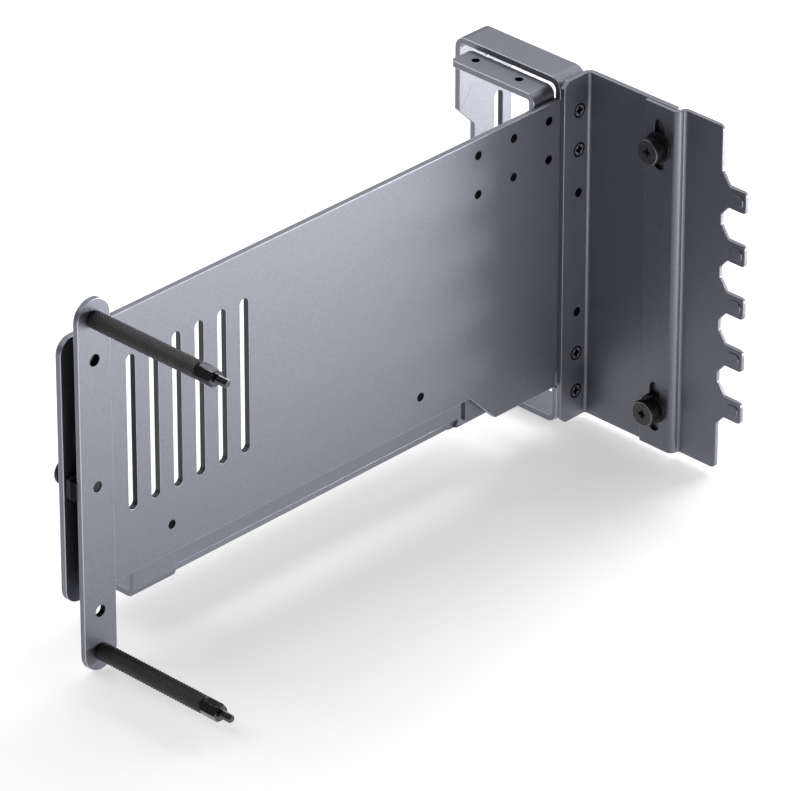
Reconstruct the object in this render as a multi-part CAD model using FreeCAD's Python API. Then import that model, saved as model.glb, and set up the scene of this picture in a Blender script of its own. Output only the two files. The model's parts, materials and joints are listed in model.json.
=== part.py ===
"""Vertical graphics card mount for a computer case, in millimetres.

The origin is at the end of the comb's middle tongue, in the plane of the corner bracket's outer
face. X runs through the rear of the case: +X is outside, -X is inside, over the motherboard. -Y
points at the motherboard, +Y at the side window. +Z is up. The comb's tongues and the screw tab
of the frame take the places of a row of expansion slot covers, and the two pillars screw into the
far row of motherboard holes.
"""
import FreeCAD, Part
import math
import os
from FreeCAD import Vector

# Standard sizes of the case that the mount is made for
SLOT_PITCH = 20.32          # between neighbouring expansion slots
BOARD_HOLE_SPACING = 124.46  # between the two motherboard holes that the pillars use
BOARD_HOLE_X = -235.6       # from the slot plane to that row of holes
SLOT_BLADE = 119.1          # from the tongue ends to the seat of the screw tab
TAB_REACH = 11.8            # the screw tab stands out this far past the slot plane

# Sheet metal
PLATE = 2.4                 # main plate, frame, card bracket, tray and back plate
BRACKET = 2.0               # corner bracket
COMB = 1.5                  # comb
BAR = 2.2                   # support bar
BEND = 1.0                  # inside radius of a fold
SLIDE_GAP = 0.05            # between faces that move on each other

# The frame round the slot covers sets the height of all that stands beside it
FRAME_HEIGHT = 134.4
FRAME_TOP = FRAME_HEIGHT / 2

# Comb
TONGUES = 5
TONGUE_HEIGHT = 8.2
TONGUE_CORNER = 1.6
TONGUE_NECK = 7.9           # from the tongue's end to where it widens
COMB_TOP = FRAME_TOP - 0.8
COMB_CORNER = 2.2
ROOT_Y = 11.0               # the comb's straight edge, behind the tongues
NOTCH_DROP = 3.6            # below a tongue, the notch meets the straight edge after this drop
NOTCH_RISE = 4.6            # and leaves it this far above the next tongue
JOG_Y = 28.0                # face of the step between the comb's blade and its flange
JOG = 3.5                   # depth of that step
COMB_FLANGE = 15.1          # width of the flange that is screwed down
PIP_LENGTH, PIP_HEIGHT, PIP_RISE = 5.2, 4.2, 0.5   # raised pip that stiffens each tongue
PIP_Y = 3.7

# Thumbscrews of the comb
THUMB_Z = COMB_TOP - 15.6    # above and below the middle, five slots apart
THUMB_Y = 36.4
THREAD = 3.5                # thread diameter of the thumbscrews
THREAD_GAP = 0.05           # radial, in every tapped hole
ADJUST_WIDTH = 4.5          # slots in the comb's flange
ADJUST_UP, ADJUST_DOWN = 6.8, 7.8   # how far the comb slides each way
THUMB_HEAD, THUMB_HEAD_T = 9.7, 2.2
THUMB_NECK, THUMB_NECK_T = 7.6, 2.8
WASHER, WASHER_T, WASHER_BORE = 10.8, 1.3, 3.9
THUMB_TAIL = 1.6            # thread end past the corner bracket

# Corner bracket
CORNER_TOP = FRAME_TOP - 0.6
CORNER_EDGE_Y = 30.4        # free edge, beside the comb's step
FLANGE_REACH = 14.5         # the flange on the main plate ends this far inside the slot plane
FLANGE_CORNER = 2.4
CORNER_SCREW_X = -6.9
CORNER_SCREW_DROP = 13.0    # first screw, from the bracket's top edge
CORNER_SCREW_RISE = 10.6    # last screw, from its bottom edge
CORNER_SCREW_STEP = 15.0    # between the two screws of a pair
CORNER_SCREW_ROWS = (CORNER_TOP - CORNER_SCREW_DROP, CORNER_TOP - CORNER_SCREW_DROP - CORNER_SCREW_STEP,
                     CORNER_SCREW_RISE + CORNER_SCREW_STEP - CORNER_TOP, CORNER_SCREW_RISE - CORNER_TOP)
CORNER_SPARE_DROP, CORNER_SPARE_RISE = 44.6, 42.0
CORNER_SPARE_ROWS = (CORNER_TOP - CORNER_SPARE_DROP, CORNER_SPARE_RISE - CORNER_TOP)
SPARE_HOLE = 3.2

# Main plate with the frame round the card's slot covers
PLATE_FRONT = 72.0          # front face of the plate, along Y
PLATE_DROP, PLATE_RISE = 7.4, 28.0   # its edges, from the frame's top and bottom
FOOT_RISE = 15.4            # the same for the deeper right end
PLATE_TOP = FRAME_TOP - PLATE_DROP
PLATE_BOTTOM = PLATE_RISE - FRAME_TOP
PLATE_FOOT = FOOT_RISE - FRAME_TOP
FOOT_START = -58.2          # where the slope down to it begins
PLATE_LEFT = -239.0
PLATE_CORNER = 2.0
FRAME_OUTSIDE = 4.6         # outside radius of the frame's folds
FRAME_INNER_X = -14.5       # edges of the frame's strip
FRAME_OUTER_X = -1.5
FRAME_SEAM = 0.6            # gap where the folded strip closes
SEAM_SETBACK = 1.0          # from the rear fold to that gap
WAIST_X = -6.8              # the frame's rear wall is cut back to here
WAIST_DROP, WAIST_SLOPE = 28.5, 7.8
WAIST_TOP = FRAME_TOP - WAIST_DROP
TAB_DROP, TAB_CORNER = 12.2, 3.0
TAB_HALF = FRAME_TOP - TAB_DROP      # half height of the screw tab
TAB_SLOT_X, TAB_SLOT_WIDTH, TAB_SLOT_DROP = 5.1, 4.2, 27.8
TAB_SLOT_HALF = FRAME_TOP - TAB_SLOT_DROP
RELIEF_X, RELIEF_WIDTH, RELIEF_HEIGHT = -15.2, 1.4, 5.6

# Six ventilation slots
VENT_COUNT, VENT_PITCH, VENT_WIDTH = 6, 10.35, 4.0
VENT_FIRST_X = -217.7
VENT_DROP, VENT_RISE = 17.0, 23.9    # ends of the slots, from the plate's edges
VENT_TOP, VENT_BOTTOM = PLATE_TOP - VENT_DROP, PLATE_BOTTOM + VENT_RISE

# Card bracket and its tapped holes
CARD_X_IN = -25.1
CARD_GAP = 0.2              # between the bracket and the frame's edge
CARD_SHELF_DROP = 3.0       # shelf below the frame's top
CARD_SHELF_TOP = FRAME_TOP - CARD_SHELF_DROP
CARD_SHELF_DEPTH = 39.2     # from the plate's back to the shelf's end
CARD_CHAMFER = 1.2
CARD_HOLE = 2.8
CARD_HOLE_X = -19.5
CARD_HOLE_FIRST_Y = 86.6
CARD_RISE = 18.8            # foot above the frame's bottom
CARD_BOTTOM = CARD_RISE - FRAME_TOP
CARD_FOOT_X = -31.5         # the lower shelf is wider, for the covers' tongues
CARD_FOOT_DEPTH = 40.0
TONGUE_SLOT_LENGTH, TONGUE_SLOT_WIDTH = 12.6, 2.2
TONGUE_SLOT_X = -27.2
CARD_COLUMN_X, CARD_COLUMN_STEP = -20.0, 17.4
CARD_COLUMNS = tuple(CARD_COLUMN_X - i * CARD_COLUMN_STEP for i in range(3))
CARD_ROW_DROP, CARD_ROW_STEP = 13.6, 14.8
CARD_ROWS = (FRAME_TOP - CARD_ROW_DROP, FRAME_TOP - CARD_ROW_DROP - CARD_ROW_STEP)

# Riser tray
TRAY_LEFT, TRAY_RIGHT = -216.0, -38.0
TRAY_LAP, TRAY_HANG = 20.2, 12.4     # its wall above and below the plate's bottom edge
TRAY_TOP = PLATE_BOTTOM + TRAY_LAP
TRAY_UNDER = PLATE_BOTTOM - TRAY_HANG
TRAY_DEPTH = 30.0
TRAY_CORNER = 3.0
WINDOW_LEFT, WINDOW_RIGHT = -196.6, -57.8
WINDOW_LAP = 3.2            # the window reaches this far behind the plate
WINDOW_TOP = PLATE_BOTTOM + WINDOW_LAP
WINDOW_STEP = 2.9           # the right tab's lower corner reaches this far into the window
WINDOW_SETBACK = 3.5        # the tray's floor starts this far behind its wall's face
TRAY_SCREW_X = (-200.4, -82.6)
TRAY_SCREW_RISE = 10.8
TRAY_SCREW_Z = PLATE_BOTTOM + TRAY_SCREW_RISE
RISER_HOLE_X = (-176.0, -96.0)
RISER_HOLE = 3.4

# Support bar and back plate
BAR_WIDTH = 14.4
BAR_LENGTH = 138.6
BAR_CENTRE_Z = 1.6
BAR_HOLE = 4.2
BAR_HOLE_SPACING = 94.0
BACK_ABOVE, BACK_BELOW = 54.3, 44.9      # from the middle of the bar
BACK_WIDTH = 23.8
BACK_LEFT = 1.3             # it reaches this far past the bar's left edge
BACK_CORNER = 5.8
PAD_HEIGHT = 7.4            # of the main plate's tongue and of the pad behind it
PAD_LEFT = 0.6              # they reach this far past the bar's left edge

# Pillars
PILLAR = 6.4
PILLAR_LENGTH = 48.6
PILLAR_END = 0.5            # chamfer at both ends
PILLAR_BORE_DEPTH = 9.0
HEX_FLATS, HEX_LENGTH = 5.5, 7.3
STUD, STUD_LENGTH = 3.0, 4.9
INSERT_LENGTH = 5.0         # thread of the standoff inside the pillar

# Small screws
SMALL_THREAD = 3.0
SMALL_HEAD, SMALL_HEAD_T = 5.4, 1.8
SCREW_SHORT = 0.2           # screws and threads stop this far inside a face
HEAD_CLEARANCE = 1.0        # the main plate's corners keep this far from the pillar screws' heads
FLAT_HEAD = 5.2             # head of the countersunk screws
FLAT_HEAD_T = 1.1
CROSS_DEPTH, CROSS_WIDTH, CROSS_LENGTH = 0.9, 0.7, 2.8

# Faces and centres that follow from the sizes above
PLATE_BACK = PLATE_FRONT + PLATE
CORNER_FACE = -BRACKET      # face of the corner bracket that the comb slides on
COMB_FACE = CORNER_FACE - SLIDE_GAP - COMB   # face of the comb's flange that the washers lie on
CARD_X_OUT = FRAME_INNER_X - CARD_GAP
BAR_LEFT = BOARD_HOLE_X - BAR_WIDTH / 2
PILLAR_SEAT = PLATE_FRONT - BAR - SLIDE_GAP
FRAME_REAR = SLOT_BLADE + PLATE
BAR_FRONT = PLATE_FRONT - BAR
PAD_BACK = PLATE_BACK + PLATE
BACK_REAR = PAD_BACK + PLATE
SHELF_BACK = PLATE_BACK + PLATE
PILLAR_ROWS = (BAR_CENTRE_Z + BOARD_HOLE_SPACING / 2, BAR_CENTRE_Z - BOARD_HOLE_SPACING / 2)


def rounded_outline(corners):
    """Closed wire in the XY plane through corners (x, y, radius), with tangent arcs."""
    points = [Vector(x, y, 0) for x, y, _ in corners]
    radii = [corner[2] for corner in corners]
    count = len(points)
    starts, ends, middles = [], [], []
    for i in range(count):
        before = (points[i - 1] - points[i]).normalize()
        after = (points[(i + 1) % count] - points[i]).normalize()
        half = before.getAngle(after) / 2
        reach = radii[i] / math.tan(half) if radii[i] else 0.0
        starts.append(points[i] + before * reach)
        ends.append(points[i] + after * reach)
        inward = (before + after).normalize() if radii[i] else Vector(0, 0, 0)
        middles.append(points[i] + inward * (radii[i] / math.sin(half) - radii[i]))
    edges = []
    for i in range(count):
        if radii[i]:
            edges.append(Part.Arc(starts[i], middles[i], ends[i]).toShape())
        if ends[i].distanceToPoint(starts[(i + 1) % count]) > 1e-6:
            edges.append(Part.LineSegment(ends[i], starts[(i + 1) % count]).toShape())
    return Part.Wire(Part.__sortEdges__(edges))


def prism(corners, height):
    """Solid of a rounded outline in XY, standing along Z."""
    return Part.Face(rounded_outline(corners)).extrude(Vector(0, 0, height))


def sheet_xz(corners, y_front, thickness):
    """Flat sheet: an outline in X and Z whose front face lies at y_front, thick towards +Y."""
    shape = prism(corners, thickness)
    shape.rotate(Vector(0, 0, 0), Vector(1, 0, 0), 90)
    shape.translate(Vector(0, y_front + thickness, 0))
    return shape


def sheet_yz(corners, x_start, thickness):
    """Solid of an outline in Y and Z from x_start, thick towards +X."""
    shape = prism(corners, thickness)
    shape.rotate(Vector(0, 0, 0), Vector(1, 1, 1), 120)
    shape.translate(Vector(x_start, 0, 0))
    return shape


def slab(x, y, z):
    """Box from three (low, high) pairs."""
    size = (x[1] - x[0], y[1] - y[0], z[1] - z[0])
    return Part.makeBox(*size, Vector(x[0], y[0], z[0]))


def rod_x(radius, x_start, x_end, y, z):
    """Cylinder along X."""
    return Part.makeCylinder(radius, x_end - x_start, Vector(x_start, y, z), Vector(1, 0, 0))


def rod_y(radius, y_start, y_end, x, z):
    """Cylinder along Y."""
    return Part.makeCylinder(radius, y_end - y_start, Vector(x, y_start, z), Vector(0, 1, 0))


def rod_z(radius, z_start, z_end, x, y):
    """Cylinder along Z."""
    return Part.makeCylinder(radius, z_end - z_start, Vector(x, y, z_start), Vector(0, 0, 1))


def rectangle(x_low, x_high, y_low, y_high, radius):
    """Corners of a rectangle with one radius."""
    return [(x_low, y_low, radius), (x_high, y_low, radius),
            (x_high, y_high, radius), (x_low, y_high, radius)]


def upright_slot(width, low, high, centre):
    """Corners of an upright slot with full round ends."""
    half = width / 2
    return rectangle(centre - half, centre + half, low, high, half - 0.001)


def cross_recess(depth, at, normal):
    """Cutting tool for a cross recess, sunk from a face at the point along -normal."""
    arm = (CROSS_LENGTH, CROSS_WIDTH)
    tool = None
    for size_a, size_b in (arm, arm[::-1]):
        if abs(normal.x) > 0.5:
            block = Part.makeBox(2 * depth, size_a, size_b, Vector(-depth, -size_a / 2, -size_b / 2))
        else:
            block = Part.makeBox(size_a, 2 * depth, size_b, Vector(-size_a / 2, -depth, -size_b / 2))
        tool = block if tool is None else tool.fuse(block)
    tool.translate(at)
    return tool


def tongue_edge():
    """Corners of the comb's toothed edge, from the top tongue down to the bottom one."""
    corners = []
    half = TONGUE_HEIGHT / 2
    for i in range(TONGUES):
        centre = ((TONGUES - 1) / 2 - i) * SLOT_PITCH
        corners += [
            (ROOT_Y, centre + half + NOTCH_RISE, 0.8),
            (TONGUE_NECK, centre + half, 0.8),
            (0.0, centre + half, TONGUE_CORNER),
            (0.0, centre - half, TONGUE_CORNER),
            (TONGUE_NECK, centre - half, 1.0),
            (ROOT_Y, centre - half - NOTCH_DROP, 0.8),
        ]
    return corners


def make_slot_comb():
    """Comb: a blade with five tongues, a step, and a flange with two adjusting slots."""
    top = COMB_TOP
    web_back = JOG_Y + COMB
    blade = sheet_yz(
        [(web_back, top, 0), (ROOT_Y, top, COMB_CORNER)] + tongue_edge()
        + [(ROOT_Y, -top, COMB_CORNER), (web_back, -top, 0)], 0.0, COMB)
    profile = prism([
        (COMB, JOG_Y - 3 * COMB, 0), (COMB, web_back, BEND + COMB), (COMB - JOG, web_back, BEND),
        (COMB - JOG, JOG_Y + COMB_FLANGE, 0), (-JOG, JOG_Y + COMB_FLANGE, 0),
        (-JOG, JOG_Y, BEND + COMB), (0.0, JOG_Y, BEND), (0.0, JOG_Y - 3 * COMB, 0)], 2 * top)
    profile.translate(Vector(0, 0, -top))
    blade = blade.cut(slab((-1, COMB + 1), (JOG_Y - 3 * COMB, web_back + 1), (-top - 1, top + 1)))
    comb = blade.fuse(profile)
    for sign in (1, -1):
        screw_z = sign * THUMB_Z
        slot = upright_slot(ADJUST_WIDTH, screw_z - ADJUST_UP - ADJUST_WIDTH / 2,
                            screw_z + ADJUST_DOWN + ADJUST_WIDTH / 2, THUMB_Y)
        comb = comb.cut(sheet_yz(slot, -JOG - 1, COMB + 2))
    for i in range(TONGUES):
        centre = ((TONGUES - 1) / 2 - i) * SLOT_PITCH
        pip = rectangle(PIP_Y - PIP_LENGTH / 2, PIP_Y + PIP_LENGTH / 2,
                        centre - PIP_HEIGHT / 2, centre + PIP_HEIGHT / 2, PIP_HEIGHT * 0.4)
        comb = comb.fuse(sheet_yz(pip, -PIP_RISE, PIP_RISE))
    comb.translate(Vector(COMB_FACE + JOG, 0, 0))
    return comb.removeSplitter()


def make_corner_bracket():
    """Corner bracket: one flange faces the comb, the other lies on the main plate."""
    top = CORNER_TOP
    face_y = PLATE_FRONT - BRACKET
    bracket = prism([
        (0.0, CORNER_EDGE_Y, 0), (0.0, PLATE_FRONT, BEND + BRACKET), (-FLANGE_REACH, PLATE_FRONT, 0),
        (-FLANGE_REACH, face_y, 0), (-BRACKET, face_y, BEND), (-BRACKET, CORNER_EDGE_Y, 0)],
        2 * top)
    bracket.translate(Vector(0, 0, -top))
    for sign in (1, -1):
        corner = Part.makePolygon([
            Vector(-FLANGE_REACH, 0, sign * top), Vector(-FLANGE_REACH + FLANGE_CORNER, 0, sign * top),
            Vector(-FLANGE_REACH, 0, sign * (top - FLANGE_CORNER)), Vector(-FLANGE_REACH, 0, sign * top)])
        bracket = bracket.cut(Part.Face(corner).extrude(Vector(0, 2 * PLATE_FRONT, 0)))
        bracket = bracket.cut(rod_x(THREAD / 2 + THREAD_GAP, -BRACKET - 1, 1, THUMB_Y,
                                    sign * THUMB_Z))
    for z in CORNER_SCREW_ROWS:
        bracket = bracket.cut(rod_y(SMALL_THREAD / 2 + THREAD_GAP, face_y - 1, PLATE_FRONT + 1,
                                    CORNER_SCREW_X, z))
        bracket = bracket.cut(flat_head(face_y, CORNER_SCREW_X, z, THREAD_GAP))
    for z in CORNER_SPARE_ROWS:
        bracket = bracket.cut(rod_y(SPARE_HOLE / 2, face_y - 1, PLATE_FRONT + 1, CORNER_SCREW_X, z))
    return bracket


def flat_head(y_face, x, z, gap):
    """Countersunk head, flush with a face that looks along -Y; a gap makes it the sink."""
    wide, narrow = FLAT_HEAD / 2 + gap, SMALL_THREAD / 2 + gap
    return Part.makeCone(wide, narrow, FLAT_HEAD_T + gap, Vector(x, y_face, z), Vector(0, 1, 0))


def make_corner_screw(z):
    """Countersunk screw that holds the corner bracket on the frame's front wall."""
    face_y = PLATE_FRONT - BRACKET
    screw = flat_head(face_y, CORNER_SCREW_X, z, 0.0)
    screw = screw.fuse(rod_y(SMALL_THREAD / 2, face_y + FLAT_HEAD_T, PLATE_BACK - SCREW_SHORT,
                             CORNER_SCREW_X, z))
    recess = cross_recess(CROSS_DEPTH, Vector(CORNER_SCREW_X, face_y, z), Vector(0, -1, 0))
    return screw.cut(recess).removeSplitter()


def make_frame_loop():
    """Strip folded into a frame round the slot covers, with its screw tab."""
    top = FRAME_TOP
    outer = rectangle(PLATE_FRONT, FRAME_REAR, -top, top, FRAME_OUTSIDE)
    inner = rectangle(PLATE_BACK, SLOT_BLADE, -top + PLATE, top - PLATE, FRAME_OUTSIDE - PLATE)
    width = FRAME_OUTER_X - FRAME_INNER_X
    loop = sheet_yz(outer, FRAME_INNER_X, width).cut(sheet_yz(inner, FRAME_INNER_X - 1, width + 2))
    tab = sheet_xz(rectangle(FRAME_OUTER_X - TAB_CORNER - 1, TAB_REACH, -TAB_HALF, TAB_HALF, TAB_CORNER),
                   SLOT_BLADE, PLATE)
    loop = loop.fuse(tab)
    waist = sheet_xz([
        (FRAME_INNER_X - 1, WAIST_TOP + 1, 0), (FRAME_INNER_X, WAIST_TOP, 1.5),
        (WAIST_X, WAIST_TOP - WAIST_SLOPE, 1.5), (WAIST_X, -WAIST_TOP + WAIST_SLOPE, 1.5),
        (FRAME_INNER_X, -WAIST_TOP, 1.5), (FRAME_INNER_X - 1, -WAIST_TOP - 1, 0)],
        SLOT_BLADE - 1, PLATE + 2)
    loop = loop.cut(waist)
    slot = upright_slot(TAB_SLOT_WIDTH, -TAB_SLOT_HALF, TAB_SLOT_HALF, TAB_SLOT_X)
    loop = loop.cut(sheet_xz(slot, SLOT_BLADE - 1, PLATE + 2))
    seam_y = FRAME_REAR - FRAME_OUTSIDE - SEAM_SETBACK - FRAME_SEAM
    seam = slab((FRAME_INNER_X - 1, FRAME_OUTER_X + 1), (seam_y, seam_y + FRAME_SEAM),
                (-top - 1, -top + PLATE + 1))
    return loop.cut(seam)


def make_main_plate():
    """Main plate and frame, one sheet: vents, tapped holes, and a tongue under the support bar."""
    pad = PAD_HEIGHT / 2
    tongue_end = BAR_LEFT - PAD_LEFT
    slope = PLATE_BOTTOM - PLATE_FOOT
    plate = sheet_xz([
        (PLATE_LEFT, PLATE_TOP, PLATE_CORNER), (PLATE_LEFT, BAR_CENTRE_Z + pad, 0.5),
        (tongue_end, BAR_CENTRE_Z + pad, 0.5), (tongue_end, BAR_CENTRE_Z - pad, 0.5),
        (PLATE_LEFT, BAR_CENTRE_Z - pad, 0.5), (PLATE_LEFT, PLATE_BOTTOM, PLATE_CORNER),
        (FOOT_START, PLATE_BOTTOM, PLATE_CORNER), (FOOT_START + slope, PLATE_FOOT, PLATE_CORNER),
        (FRAME_OUTER_X, PLATE_FOOT, 0), (FRAME_OUTER_X, PLATE_TOP, 0)], PLATE_FRONT, PLATE)
    for i in range(VENT_COUNT):
        x = VENT_FIRST_X + i * VENT_PITCH
        vent = upright_slot(VENT_WIDTH, VENT_BOTTOM, VENT_TOP, x)
        plate = plate.cut(sheet_xz(vent, PLATE_FRONT - 1, PLATE + 2))
    plate = plate.fuse(make_frame_loop())
    relief = slab((RELIEF_X, RELIEF_X + RELIEF_WIDTH), (PLATE_FRONT - 1, PLATE_BACK + 1),
                  (PLATE_FOOT - 1, PLATE_FOOT + RELIEF_HEIGHT))
    plate = plate.cut(relief)
    tapped = [(x, z) for x in CARD_COLUMNS for z in CARD_ROWS]
    tapped += [(x, TRAY_SCREW_Z) for x in TRAY_SCREW_X]
    tapped += [(CORNER_SCREW_X, z) for z in CORNER_SCREW_ROWS + CORNER_SPARE_ROWS]
    for x, z in tapped:
        plate = plate.cut(rod_y(SMALL_THREAD / 2 + THREAD_GAP, PLATE_FRONT - 1, PLATE_BACK + 1, x, z))
    plate = plate.cut(clamp_bore(PLATE_FRONT, PLATE_BACK))
    reach = SMALL_HEAD / 2 + HEAD_CLEARANCE
    for z, way in zip(PILLAR_ROWS, (1, -1)):
        low, high = sorted((z - way * reach, z + way * FRAME_HEIGHT))
        plate = plate.cut(slab((PLATE_LEFT - 1, BOARD_HOLE_X + reach), (PLATE_FRONT - 1, PLATE_BACK + 1),
                               (low, high)))
    return plate.removeSplitter()


def clamp_bore(y_start, y_end):
    """Cutting tool for the clamp thumbscrew's thread through one sheet."""
    return rod_y(THREAD / 2 + THREAD_GAP, y_start - 1, y_end + 1, BOARD_HOLE_X, BAR_CENTRE_Z)


def make_card_bracket():
    """Card bracket: a shelf that slot covers are screwed to, a wall, and a foot for their tongues."""
    shelf_end = PLATE_BACK + CARD_SHELF_DEPTH
    foot_end = PLATE_BACK + CARD_FOOT_DEPTH
    foot_top = CARD_BOTTOM + PLATE
    fold = BEND + PLATE
    section = sheet_yz([
        (PLATE_BACK, CARD_SHELF_TOP, fold), (PLATE_BACK, CARD_BOTTOM, fold),
        (foot_end, CARD_BOTTOM, 0), (foot_end, foot_top, 0), (SHELF_BACK, foot_top, BEND),
        (SHELF_BACK, CARD_SHELF_TOP - PLATE, BEND), (shelf_end, CARD_SHELF_TOP - PLATE, 0),
        (shelf_end, CARD_SHELF_TOP, 0)], CARD_X_IN, CARD_X_OUT - CARD_X_IN)
    widening = slab((CARD_FOOT_X, CARD_X_IN + 1), (PLATE_BACK + fold + 1, foot_end),
                    (CARD_BOTTOM, foot_top))
    bracket = section.fuse(widening)
    for x in (CARD_X_IN, CARD_X_OUT):
        corner = Part.makeBox(2 * CARD_CHAMFER, 2 * CARD_CHAMFER, 4 * PLATE,
                              Vector(-CARD_CHAMFER, -CARD_CHAMFER, 0))
        corner.rotate(Vector(0, 0, 0), Vector(0, 0, 1), 45)
        corner.translate(Vector(x, shelf_end + CARD_CHAMFER * (math.sqrt(2) - 1),
                                CARD_SHELF_TOP - 2 * PLATE))
        bracket = bracket.cut(corner)
    for i in range(2):
        y = CARD_HOLE_FIRST_Y + i * SLOT_PITCH
        bracket = bracket.cut(rod_z(CARD_HOLE / 2, CARD_SHELF_TOP - PLATE - 1, CARD_SHELF_TOP + 1,
                                    CARD_HOLE_X, y))
        opening = slab((TONGUE_SLOT_X - TONGUE_SLOT_WIDTH / 2, TONGUE_SLOT_X + TONGUE_SLOT_WIDTH / 2),
                       (y - TONGUE_SLOT_LENGTH / 2, y + TONGUE_SLOT_LENGTH / 2),
                       (CARD_BOTTOM - 1, foot_top + 1))
        bracket = bracket.cut(opening)
    for z in CARD_ROWS:
        bracket = bracket.cut(rod_y(SMALL_THREAD / 2 + THREAD_GAP, PLATE_BACK - 1, SHELF_BACK + 1,
                                    CARD_COLUMNS[0], z))
    return bracket.removeSplitter()


def make_pan_screw(x, z, y_seat, y_end):
    """Pan head screw driven from behind, its head on y_seat and its end at y_end."""
    screw = rod_y(SMALL_THREAD / 2, y_end, y_seat + SMALL_HEAD_T / 2, x, z)
    head = rod_y(SMALL_HEAD / 2, y_seat, y_seat + SMALL_HEAD_T, x, z)
    rim = max(head.Edges, key=lambda edge: edge.CenterOfMass.y)
    head = head.makeChamfer(SMALL_HEAD_T * 0.35, [rim])
    top = y_seat + SMALL_HEAD_T
    recess = cross_recess(CROSS_DEPTH, Vector(x, top, z), Vector(0, 1, 0))
    return screw.fuse(head).cut(recess).removeSplitter()


def make_riser_tray():
    """Riser tray: a wall screwed behind the plate and a floor folded back under the riser."""
    fold = BEND + PLATE
    floor_end = PLATE_BACK + TRAY_DEPTH
    section = sheet_yz([
        (PLATE_BACK, TRAY_TOP, 0), (PLATE_BACK, TRAY_UNDER, fold), (floor_end, TRAY_UNDER, 0),
        (floor_end, TRAY_UNDER + PLATE, 0), (SHELF_BACK, TRAY_UNDER + PLATE, BEND),
        (SHELF_BACK, TRAY_TOP, 0)], TRAY_LEFT, TRAY_RIGHT - TRAY_LEFT)
    step = WINDOW_RIGHT - WINDOW_STEP
    window = sheet_xz([
        (WINDOW_LEFT, TRAY_UNDER - 2, 0), (step, TRAY_UNDER - 2, 0), (step, TRAY_UNDER + 0.8, 0.6),
        (WINDOW_RIGHT, TRAY_UNDER + WINDOW_STEP, 1.0), (WINDOW_RIGHT, WINDOW_TOP, 1.5),
        (WINDOW_LEFT, WINDOW_TOP, 1.5)], PLATE_BACK - 1, PLATE + 1 + BEND / 2)
    setback = prism([
        (WINDOW_LEFT, PLATE_BACK - 1, 0), (step, PLATE_BACK - 1, 0),
        (step, PLATE_BACK, 0), (step - WINDOW_SETBACK * 0.75, PLATE_BACK + WINDOW_SETBACK, 2.2),
        (WINDOW_LEFT, PLATE_BACK + WINDOW_SETBACK, 0.5)], PLATE + 2)
    setback.translate(Vector(0, 0, TRAY_UNDER - 1))
    tray = section.cut(window).cut(setback)
    for x in (TRAY_LEFT, TRAY_RIGHT):
        corner = Part.makeBox(2 * TRAY_CORNER, 2 * TRAY_CORNER, PLATE + 2,
                              Vector(-TRAY_CORNER, -TRAY_CORNER, 0))
        corner.rotate(Vector(0, 0, 0), Vector(0, 0, 1), 45)
        corner.translate(Vector(x, floor_end + TRAY_CORNER * (math.sqrt(2) - 1), TRAY_UNDER - 1))
        tray = tray.cut(corner)
    for x in TRAY_SCREW_X:
        tray = tray.cut(rod_y(SMALL_THREAD / 2 + THREAD_GAP, PLATE_BACK - 1, SHELF_BACK + 1,
                              x, TRAY_SCREW_Z))
    for x in RISER_HOLE_X:
        tray = tray.cut(rod_z(RISER_HOLE / 2, TRAY_UNDER - 1, TRAY_UNDER + PLATE + 1, x,
                              CARD_HOLE_FIRST_Y))
    return tray.removeSplitter()


def make_support_bar():
    """Support bar: an upright strip with full round ends and five holes."""
    half = BAR_LENGTH / 2
    bar = sheet_xz(upright_slot(BAR_WIDTH, BAR_CENTRE_Z - half, BAR_CENTRE_Z + half, BOARD_HOLE_X),
                   BAR_FRONT, BAR)
    bar = bar.cut(clamp_bore(BAR_FRONT, PLATE_FRONT))
    holes = [(z, SMALL_THREAD / 2 + THREAD_GAP) for z in PILLAR_ROWS]
    holes += [(BAR_CENTRE_Z + sign * BAR_HOLE_SPACING / 2, BAR_HOLE / 2) for sign in (1, -1)]
    for z, radius in holes:
        bar = bar.cut(rod_y(radius, BAR_FRONT - 1, PLATE_FRONT + 1, BOARD_HOLE_X, z))
    return bar


def make_pad():
    """Pad between the main plate's tongue and the back plate."""
    half = PAD_HEIGHT / 2
    pad = sheet_xz(rectangle(BAR_LEFT - PAD_LEFT, BAR_LEFT + BAR_WIDTH, BAR_CENTRE_Z - half,
                             BAR_CENTRE_Z + half, 0.5), PLATE_BACK, PLATE)
    return pad.cut(clamp_bore(PLATE_BACK, PAD_BACK))


def make_back_plate():
    """Back plate that the clamp thumbscrew pulls against the pad."""
    left = BAR_LEFT - BACK_LEFT
    plate = sheet_xz(rectangle(left, left + BACK_WIDTH, BAR_CENTRE_Z - BACK_BELOW,
                               BAR_CENTRE_Z + BACK_ABOVE, BACK_CORNER), PAD_BACK, PLATE)
    return plate.cut(clamp_bore(PAD_BACK, BACK_REAR))


def make_thumbscrew(length):
    """Thumbscrew along +X with the washer's face of its neck at X = 0: head, neck and thread."""
    head = rod_x(THUMB_HEAD / 2, -THUMB_NECK_T - THUMB_HEAD_T, -THUMB_NECK_T, 0, 0)
    rims = [edge for edge in head.Edges if edge.Closed]
    head = head.makeChamfer(0.4, rims)
    neck = rod_x(THUMB_NECK / 2, -THUMB_NECK_T - 0.2, 0, 0, 0)
    shank = rod_x(THREAD / 2, -0.2, length, 0, 0)
    recess = cross_recess(CROSS_DEPTH, Vector(-THUMB_NECK_T - THUMB_HEAD_T, 0, 0), Vector(-1, 0, 0))
    return head.fuse(neck).fuse(shank).cut(recess).removeSplitter()


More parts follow.
